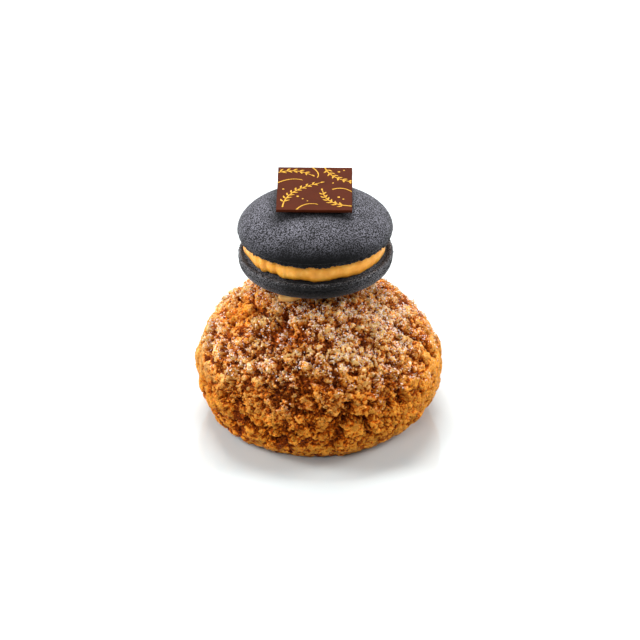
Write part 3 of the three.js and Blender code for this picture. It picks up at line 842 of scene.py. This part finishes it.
def strew(name, crust, count, radii, shapes, material, likes, sink, seed):
    """Crumbs over the crust, sunk by a share of their size, where likes() is high."""
    places, chosen = spread_points(crust["points"], crust["faces"], count, seed, likes(crust))
    draw = np.random.default_rng(seed + 1)
    sizes = mix(*radii, draw.random(count) ** 1.6)
    near = crust["faces"][chosen, 0]
    facing = crust["outward"][near]
    places = places - facing * (sizes * sink)[:, None]
    places[:, 2] = np.maximum(places[:, 2], sizes * 1.1 + 0.1)
    points, triangles, owners = scattered(shapes, places, facing, sizes, seed + 2)
    # painted shade and highlight: crumbs in the gaps are coloured darker, those on the tops paler
    height = np.clip(mix(0.3, 0.95, crust["plateau"][near]) + draw.normal(0.0, 0.17, count), 0.0, 1.0)
    tint = draw.random(count)
    warmth, dust = crust_values(places, height)
    warmth = np.clip(warmth + draw.normal(0.0, 0.12, count), 0.0, 1.0)
    rounded = len(shapes[0][0]) > ROUNDED_POINTS
    piece = make_piece(name, points, triangles, material, rounded, height=height[owners],
                       tint=tint[owners], warmth=warmth[owners], dust=dust[owners])


def open_crust(points):
    """1 where crumbs may lie: off the ground, the skirt's foot and the seat under the macaron."""
    off_seat = np.where(points[:, 2] > 30.0, smoothstep(from_axis(points), 8.5, 12.0), 1.0)
    return smoothstep(points[:, 2], 3.0, 12.0) * off_seat


def bare_places(points):
    """1 on the smooth patches, which hold few crumbs."""
    return np.maximum(0.8 * zone(points, *SMOOTH_PATCH), zone(points, *BARE_SKIN))


def likes_nuggets(crust):
    """Where the larger crumbs lie: in clusters, and mostly between the lumps."""
    points = crust["points"]
    clusters = smoothstep(noise_at(points, 0.3, 3, 23.0), -0.5, 0.2)
    free = (1.0 - bare_places(points)) * (1.0 - 0.6 * zone(points, *PLATES)) * (1.0 - 0.9 * flank(points))
    free *= mix(0.15, 1.0, clusters) * mix(0.02, 1.0, crust["plateau"]) * mix(1.0, 0.35, crust["lump"])
    return open_crust(points) * free + SELDOM


def likes_crumbs(crust):
    """Where the small crumbs lie: all over the crust, less in the gaps."""
    points = crust["points"]
    free = (1.0 - bare_places(points)) * (1.0 - 0.8 * flank(points))
    free *= mix(0.1, 1.0, crust["plateau"]) * mix(1.0, 0.5, crust["lump"])
    return open_crust(points) * free + SELDOM


def likes_sugar(crust):
    """Where the sugar lies: on the dusted crust that faces up."""
    _, dust = crust_values(crust["points"], crust["plateau"])
    return dust ** 1.5 * smoothstep(crust["outward"][:, 2], 0.2, 0.8) + SELDOM


# ---- The macaron ----

def macaron_to_part(points):
    """From the macaron's own frame to the part's: its right side stands a little higher."""
    cosine, sine = math.cos(MACARON_ROLL), math.sin(MACARON_ROLL)
    x = points[:, 0] * cosine - points[:, 2] * sine
    z = points[:, 0] * sine + points[:, 2] * cosine
    return np.stack([x, points[:, 1], z], axis=1) + np.array(MACARON_CENTRE)


def sampled(corners, step):
    """An outline's rows, no further apart than the step: (radius, height, roughness)."""
    rows = [corners[0]]
    for before, after in zip(corners, corners[1:]):
        length = math.hypot(after[0] - before[0], after[1] - before[1])
        pieces = max(1, round(length / step))
        for k in range(1, pieces + 1):
            share = k / pieces
            rows.append(tuple(mix(a, b, share) for a, b in zip(before, after)))
    return np.array(rows)


def lofted(rings, count):
    """Quads between rings of points that follow one another, with so many points in each."""
    ring = np.arange(count)
    after = np.roll(ring, -1)
    quad = np.stack([ring, after, after + count, ring + count], axis=1)
    return np.concatenate([quad + row * count for row in range(rings - 1)]).tolist()


def turned(corners, step):
    """Points, normals, faces and roughness of a body turned from an outline that ends on the axis."""
    rows = sampled(corners, step)
    rings, count = rows[1:-1], SHELL_SEGMENTS
    angles = np.linspace(0.0, 2.0 * math.pi, count, endpoint=False)
    x, y = rings[:, 0][:, None] * np.cos(angles), rings[:, 0][:, None] * np.sin(angles)
    z = np.repeat(rings[:, 1][:, None], count, axis=1)
    points = np.stack([x, y, z], axis=2).reshape(-1, 3)
    points = np.vstack([points, [0.0, 0.0, rows[0, 1]], [0.0, 0.0, rows[-1, 1]]])
    ring = np.arange(count)
    after = np.roll(ring, -1)
    first, last = (np.full(count, len(points) - k) for k in (2, 1))
    top = (len(rings) - 1) * count
    faces = lofted(len(rings), count)
    faces += np.stack([first, after, ring], axis=1).tolist()
    faces += np.stack([last, top + ring, top + after], axis=1).tolist()
    slope = np.gradient(rows[:, :2], axis=0)
    slope /= np.maximum(lengths(slope), 1e-9)[:, None]
    row = np.concatenate([np.repeat(np.arange(1, len(rows) - 1), count), [0, len(rows) - 1]])
    out, up = slope[row, 1], -slope[row, 0]
    angle = np.arctan2(points[:, 1], points[:, 0])
    normals = np.stack([out * np.cos(angle), out * np.sin(angle), up], axis=1)
    return points, normals, faces, rows[row, 2]


def upper_grain_and_painted_light(points, lumps):
    """Pale grain over the dome, as painted light and shade: it thins out low at the front as painted shade,
    reaches lower on the flanks as painted light, and thins under and just before the plaque as the plaque's
    painted shadow.
    """
    # painted shade low at the front and painted light from the side lamps on the flanks
    side = smoothstep(np.abs(points[:, 0]), 7.0, 20.0)
    dust = smoothstep(points[:, 2] + 0.5 * lumps + FLANK_GRAIN_LIGHT * side, *GRAIN_SHADE_LEVELS)
    # painted shadow of the plaque: less pale grain under it and just before it
    across = fade(np.abs(points[:, 0] + PLAQUE_SET_LEFT) / PLAQUE_WIDTH, 0.45, 0.6)
    edge = PLAQUE_LENGTH / 2 - PLAQUE_SET_BACK
    return dust * (1.0 - PLAQUE_GRAIN_SHADOW * across * fade(-points[:, 1], edge + 2.2, edge + 6.5))


def lower_grain_and_painted_light(points, lumps):
    """Pale grain on the lower shell's left and right, as painted light from the side lamps; its front stays
    dark, as painted shade.
    """
    return mix(0.12, 1.0, smoothstep(np.abs(points[:, 0]) + lumps, 5.0, 18.0))


def build_shell(name, corners, material, seed, dust):
    """A macaron shell: a fine grain over the dome and a rough, porous foot."""
    points, normals, faces, rough = turned(corners, OUTLINE_STEP)
    fine = noise_at(points, 2.2, 2, seed)
    lumps = noise_at(points, 0.9, 3, seed + 5.0)
    rise = GRAIN_RISE * fine + rough * (FOOT_RISE * lumps + FOOT_GRAIN * fine)
    # painted light and shade: where the pale grain shows on this shell
    dusty = dust(points, lumps)
    points = points + normals * rise[:, None]
    piece = make_piece(name, macaron_to_part(points), faces, material, rough=rough, dusty=dusty)
    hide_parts("macaron_" + name)


def upper_shell_outline():
    """Corners of (radius, height, roughness) from the flat face, up the foot and over the dome."""
    foot = [(0.0, UPPER_FACE, 0.0),
            (17.5, UPPER_FACE, 0.0),
            (FACE_RADIUS, UPPER_FACE, 0.6),
            (UPPER_FOOT_RADIUS, UPPER_FACE + 0.15, 1.0),
            (UPPER_FOOT_RADIUS + 0.2, UPPER_FACE + 0.6, 1.0),
            (UPPER_FOOT_RADIUS + 0.1, UPPER_FACE + 1.15, 0.8)]
    steps = 90
    dome = []
    for k in range(steps):
        angle = math.pi / 2 * k / steps
        rough = 0.25 * max(0.0, 1.0 - k / 5)
        dome.append((SHELL_RADIUS * math.cos(angle), UPPER_WAIST + UPPER_DOME_RISE * math.sin(angle), rough))
    return foot + dome + [(0.0, UPPER_WAIST + UPPER_DOME_RISE, 0.0)]


def lower_shell_outline():
    """Corners of (radius, height, roughness) from the dome's bottom, over the foot to the face."""
    foot_height = LOWER_FACE - LOWER_FOOT_HEIGHT
    steps = 70
    dome = []
    for k in range(steps):
        radius = SHELL_RADIUS * math.sin(math.pi / 2 * k / steps)
        drop = (1.0 - (radius / SHELL_RADIUS) ** LOWER_DOME_POWER) ** (1.0 / LOWER_DOME_POWER)
        dome.append((radius, LOWER_FACE - LOWER_DOME_DROP * drop, 0.0))
    dome = [row for row in dome if row[1] < foot_height - 0.3]
    foot = [(SHELL_RADIUS - 0.25, foot_height - 0.3, 0.1),
            (SHELL_RADIUS - 0.3, foot_height, 0.3),
            (SHELL_RADIUS - 0.05, LOWER_FACE - LOWER_FOOT_HEIGHT * 0.65, 0.4),
            (SHELL_RADIUS - 0.05, LOWER_FACE - 0.35, 0.9),
            (SHELL_RADIUS - 0.55, LOWER_FACE + 0.05, 1.0),
            (20.3, LOWER_FACE - 0.1, 0.6),
            (19.9, LOWER_FACE - GROOVE_DEPTH, 0.0),
            (19.2, LOWER_FACE - GROOVE_DEPTH, 0.0),
            (18.6, LOWER_FACE, 0.0),
            (0.0, LOWER_FACE, 0.0)]
    return dome + foot


def build_filling(material):
    """The layer of cream: a soft bulge with upright folds, pressed out unevenly at its edges."""
    bottom, top = LOWER_FACE + FILLING_GAP, UPPER_FACE - FILLING_GAP
    corners = [(0.0, bottom, 0.0), (18.0, bottom, 0.0)]
    steps = 18
    for k in range(steps + 1):
        bulge = FILLING_BULGE * math.sin(math.pi * k / steps) ** 0.6
        corners.append((FILLING_RADIUS + bulge, mix(bottom, top, k / steps), 1.0))
    corners += [(18.0, top, 0.0), (0.0, top, 0.0)]
    points, normals, faces, _ = turned(corners, 0.6)
    edge = smoothstep(from_axis(points), 17.8, 18.8)
    angle = np.degrees(np.arctan2(points[:, 0], -points[:, 1]))
    wave = noise_at(points * (1.0, 1.0, 0.35), 0.16, 2, 40.0)
    small = noise_at(points * (1.0, 1.0, 0.5), 0.5, 2, 44.0)
    rise = 0.5 * wave + 0.14 * small
    for middle, width, depth in FOLDS:
        rise -= depth * np.exp(-((angle - middle) / width) ** 2)
    points = points + normals * (rise * edge)[:, None]
    piece = make_piece("filling", macaron_to_part(points), faces, material)
    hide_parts("macaron_filling")


def build_dab(material):
    """The cream that holds the macaron, from its CAD solid, softened and slightly swollen."""
    points, faces = remeshed(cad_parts["cream_dab"].data, DAB_VOXEL)
    points = smoothed(points, edges_of(faces), 6)
    swell = 0.18 + 0.1 * noise_at(points, 0.5, 2, 60.0)
    points = points + normals_of(points, faces) * swell[:, None]
    piece = make_piece("dab", points, faces, material)
    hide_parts("cream_dab")


# ---- The plaque ----

def plaque_to_part(points):
    """From the plaque's own frame to the part's: it lies on the dome where both face alike."""
    turn = np.array(PLAQUE_TURN.to_matrix())
    right, back, up = turn.T
    axes = np.array([SHELL_RADIUS, SHELL_RADIUS, UPPER_DOME_RISE])
    stretched = up * axes
    place = stretched * axes / np.linalg.norm(stretched) + np.array([0.0, 0.0, UPPER_WAIST])
    place = place + up * TOUCH_GAP + back * PLAQUE_SET_BACK - right * PLAQUE_SET_LEFT
    return macaron_to_part(points @ turn.T + place)


def build_plaque(material):
    """A thin tablet: flat faces, softened edges and slightly wavy sides."""
    across, along = np.linspace(-1.0, 1.0, 61), np.linspace(-1.0, 1.0, 73)
    width_side, length_side = np.ones(len(across) - 1), np.ones(len(along) - 1)
    around = np.stack([np.concatenate([across[:-1], length_side, across[:0:-1], -length_side]),
                       np.concatenate([-width_side, along[:-1], width_side, along[:0:-1]])], axis=1)
    half = np.array([PLAQUE_WIDTH, PLAQUE_LENGTH]) / 2
    inner = around * (half - PLAQUE_BEVEL)
    outer = np.where(np.abs(around) == 1.0, around * half, inner)
    count = len(around)
    levels = [(inner, 0.0), (outer, PLAQUE_BEVEL),
              (outer, PLAQUE_THICKNESS - PLAQUE_BEVEL), (inner, PLAQUE_THICKNESS)]
    points = np.vstack([np.column_stack([ring, np.full(count, z)]) for ring, z in levels])
    bottom, top = list(range(count))[::-1], list(range(3 * count, 4 * count))
    faces = lofted(len(levels), count) + [bottom, top]
    edge = noise_at(points * (1.0, 1.0, 0.3), 0.35, 3, 70.0)
    near = smoothstep((np.abs(points[:, :2]) - half).max(axis=1), -0.8, 0.0)
    points[:, :2] -= np.sign(points[:, :2]) * (PLAQUE_WAVE * (1.0 + edge * near))[:, None]
    piece = make_piece("plaque", plaque_to_part(points), faces, material, smooth=False)
    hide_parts("chocolate_plaque")


# The print is a plain leafy pattern: stems as (start, bend, end, leaf pairs), without leaves for a
# tendril, and dots as (x, y, radius). What runs over the plaque's edge is trimmed.
STEMS = [
    ((-8.6, -10.6), (-8.2, -1.0), (1.4, 3.0), 8),
    ((10.6, -9.8), (2.8, -9.4), (2.2, -1.4), 6),
    ((-12.4, 7.4), (-6.2, 12.2), (-1.2, 7.6), 5),
    ((2.4, 13.4), (3.4, 5.4), (11.2, 3.4), 6),
    ((-5.2, -12.8), (-3.0, -7.4), (1.0, -9.0), 0),
    ((4.8, -0.6), (8.4, 1.6), (11.0, -3.2), 0),
    ((-10.8, 2.4), (-6.8, 6.4), (-3.4, 4.6), 0),
    ((-1.4, 12.6), (1.8, 8.8), (0.6, 6.0), 0),
]
DOTS = [(-4.6, -4.6, 0.36), (-3.2, -5.9, 0.26), (-1.9, -7.1, 0.2), (6.6, 9.4, 0.36), (8.0, 10.3, 0.26),
        (6.6, -4.9, 0.36), (7.9, -6.0, 0.26), (-8.6, -0.6, 0.3), (5.0, 3.0, 0.26), (-5.4, 9.2, 0.26)]


def curve_point(start, bend, end, share):
    """A point of the curve that leaves its start towards the bend and comes to its end from it."""
    first = Vector(start).lerp(Vector(bend), share)
    second = Vector(bend).lerp(Vector(end), share)
    return first.lerp(second, share)


def ribbon(line, widths):
    """Quads along a flat line, as wide as given at each of its points."""
    points, faces = [], []
    for k, place in enumerate(line):
        along = line[min(k + 1, len(line) - 1)] - line[max(k - 1, 0)]
        side = Vector((-along.y, along.x)).normalized() * widths[k] / 2
        points += [place + side, place - side]
        if k:
            faces.append([2 * k - 2, 2 * k - 1, 2 * k + 1, 2 * k])
    return points, faces


def leaf(root, way, length, width):
    """A pointed leaf as a ribbon that swells and tapers."""
    steps = 8
    side = Vector((-way.y, way.x))
    line = [root + way * (length * k / steps) + side * (0.12 * length * math.sin(math.pi * k / steps))
            for k in range(steps + 1)]
    widths = [max(0.03, width * math.sin(math.pi * k / steps) ** 0.8) for k in range(steps + 1)]
    return ribbon(line, widths)


def stem(start, bend, end, pairs):
    """A curved stem with paired leaves and one at its tip, or a bare tendril."""
    steps = 24
    line = [curve_point(start, bend, end, k / steps) for k in range(steps + 1)]
    widths = [mix(GOLD_LINE, 0.55 * GOLD_LINE, k / steps) for k in range(steps + 1)]
    shapes = [ribbon(line, widths)]
    for k in range(1, pairs + 1):
        share = (k + 0.5) / (pairs + 1.5)
        root = curve_point(start, bend, end, share)
        along = (curve_point(start, bend, end, share + 0.02) - root).normalized()
        for turn in (LEAF_TURN, -LEAF_TURN):
            way = along.copy()
            way.rotate(Euler((0, 0, turn)).to_matrix().to_2x2())
            shapes.append(leaf(root, way, mix(LEAF_LENGTH, 0.7 * LEAF_LENGTH, share), LEAF_WIDTH))
    if pairs:
        shapes.append(leaf(line[-1], (line[-1] - line[-2]).normalized(), 0.7 * LEAF_LENGTH, LEAF_WIDTH))
    return shapes


def dot(x, y, radius):
    """A small disc."""
    corners = 16
    ring = [Vector((x + radius * math.cos(2 * math.pi * k / corners),
                    y + radius * math.sin(2 * math.pi * k / corners))) for k in range(corners)]
    return ring, [list(range(corners))]


def build_gold(material):
    """The gold print: flat shapes trimmed at the plaque's edges and given a little thickness."""
    shapes = [shape for row in STEMS for shape in stem(*row)] + [dot(*row) for row in DOTS]
    right, back = PLAQUE_WIDTH / 2 - GOLD_MARGIN, PLAQUE_LENGTH / 2 - GOLD_MARGIN
    points, faces = [], []
    for outline, polygons in shapes:
        mesh = bmesh.new()
        verts = [mesh.verts.new((p.x, p.y, 0.0)) for p in outline]
        for polygon in polygons:
            mesh.faces.new([verts[k] for k in polygon])
        for x, y in ((1, 0), (-1, 0), (0, 1), (0, -1)):
            everything = mesh.verts[:] + mesh.edges[:] + mesh.faces[:]
            bmesh.ops.bisect_plane(mesh, geom=everything, plane_co=(x * right, y * back, 0.0),
                                   plane_no=(x, y, 0.0), clear_outer=True)
        for face in mesh.faces:
            face.normal_update()
            if face.normal.z < 0:
                face.normal_flip()
        mesh.verts.index_update()
        count, start = len(mesh.verts), len(points)
        points += [(v.co.x, v.co.y, z) for z in (0.0, GOLD_THICKNESS) for v in mesh.verts]
        for face in mesh.faces:
            ring = [v.index for v in face.verts]
            faces.append([start + count + k for k in ring])
            faces.append([start + k for k in ring[::-1]])
        for edge in mesh.edges:
            if len(edge.link_faces) == 1:
                loop = edge.link_loops[0]
                a, b = loop.vert.index, loop.link_loop_next.vert.index
                faces.append([start + a, start + b, start + count + b, start + count + a])
        mesh.free()
    places = np.array(points)
    places[:, 2] += PLAQUE_THICKNESS - GOLD_SUNK
    piece = make_piece("gold_pattern", plaque_to_part(places), faces, material, smooth=False)


# ---- Stage ----

def build_camera():
    """The photo's view: from the front, looking down."""
    target = Vector(CAMERA_TARGET) * MM
    back = Vector((0.0, -math.cos(CAMERA_ELEVATION), math.sin(CAMERA_ELEVATION)))
    data = bpy.data.cameras.new("camera")
    data.lens = CAMERA_LENS
    data.sensor_width = SENSOR_WIDTH
    data.clip_start, data.clip_end = 0.05, 20.0
    camera = add_object("camera", data)
    camera.location = target + back * CAMERA_DISTANCE * MM
    camera.rotation_euler = (-back).to_track_quat("-Z", "Y").to_euler()
    bpy.context.scene.camera = camera


def build_floor():
    reach = FLOOR_HALF * MM
    mesh = bpy.data.meshes.new("floor")
    corners = [(-reach, -reach, 0), (reach, -reach, 0), (reach, reach, 0), (-reach, reach, 0)]
    mesh.from_pydata(corners, [], [(0, 1, 2, 3)])
    mesh.materials.append(floor_material())
    floor = add_object("floor", mesh)
    floor.location.z = FLOOR_LEVEL * MM


def build_lights():
    """Softboxes around the pastry, and an even light from everywhere."""
    for name, (place, size, power) in SOFTBOXES.items():
        data = bpy.data.lights.new(name, "AREA")
        data.shape = "RECTANGLE"
        data.size, data.size_y = size[0] * MM, size[1] * MM
        data.energy = power
        light = add_object(name, data)
        light.location = Vector(place) * MM
        aim = (Vector(AIM) - Vector(place)).normalized()
        light.rotation_euler = aim.to_track_quat("-Z", "Y").to_euler()
        light.visible_camera = False
    world = bpy.data.worlds.new("studio")
    world.use_nodes = True
    background = world.node_tree.nodes["Background"]
    background.inputs["Color"].default_value = WORLD_COLOUR
    background.inputs["Strength"].default_value = WORLD_STRENGTH
    bpy.context.scene.world = world
    bpy.context.scene.view_settings.view_transform = "Standard"


# ---- Everything together ----

def build_bun():
    finish = crust_material()
    crust = build_crust(finish)
    nuggets = crumb_shapes(14, corners=12, rounded=True, seed=21)
    crumbs = crumb_shapes(16, corners=8, rounded=False, seed=22)
    grains = crumb_shapes(8, corners=7, rounded=False, seed=23)
    strew("bun_nuggets", crust, NUGGET_COUNT, NUGGET_RADIUS, nuggets, finish, likes_nuggets, 0.4, 100)
    strew("bun_crumbs", crust, CRUMB_COUNT, CRUMB_RADIUS, crumbs, finish, likes_crumbs, 0.4, 200)
    strew("bun_sugar", crust, SUGAR_COUNT, SUGAR_RADIUS, grains, sugar_material(), likes_sugar, -0.3, 300)


def build_macaron():
    upper = shell_material("upper_shell", srgb(7, 7, 9), srgb(112, 111, 120), srgb(84, 82, 86))
    lower = shell_material("lower_shell", srgb(8, 7, 7), srgb(98, 96, 100), srgb(150, 148, 150))
    cream = cream_material("caramel_cream", srgb(218, 139, 35), srgb(236, 160, 50), srgb(246, 182, 80))
    dab = cream_material("pale_cream", srgb(228, 164, 86), srgb(240, 186, 108), srgb(246, 204, 136))
    build_shell("upper_shell", upper_shell_outline(), upper, 80.0, upper_grain_and_painted_light)
    build_shell("lower_shell", lower_shell_outline(), lower, 90.0, lower_grain_and_painted_light)
    build_filling(cream)
    build_dab(dab)
    build_plaque(chocolate_material())
    build_gold(gold_material())


build_camera()
build_floor()
build_lights()
build_bun()
build_macaron()
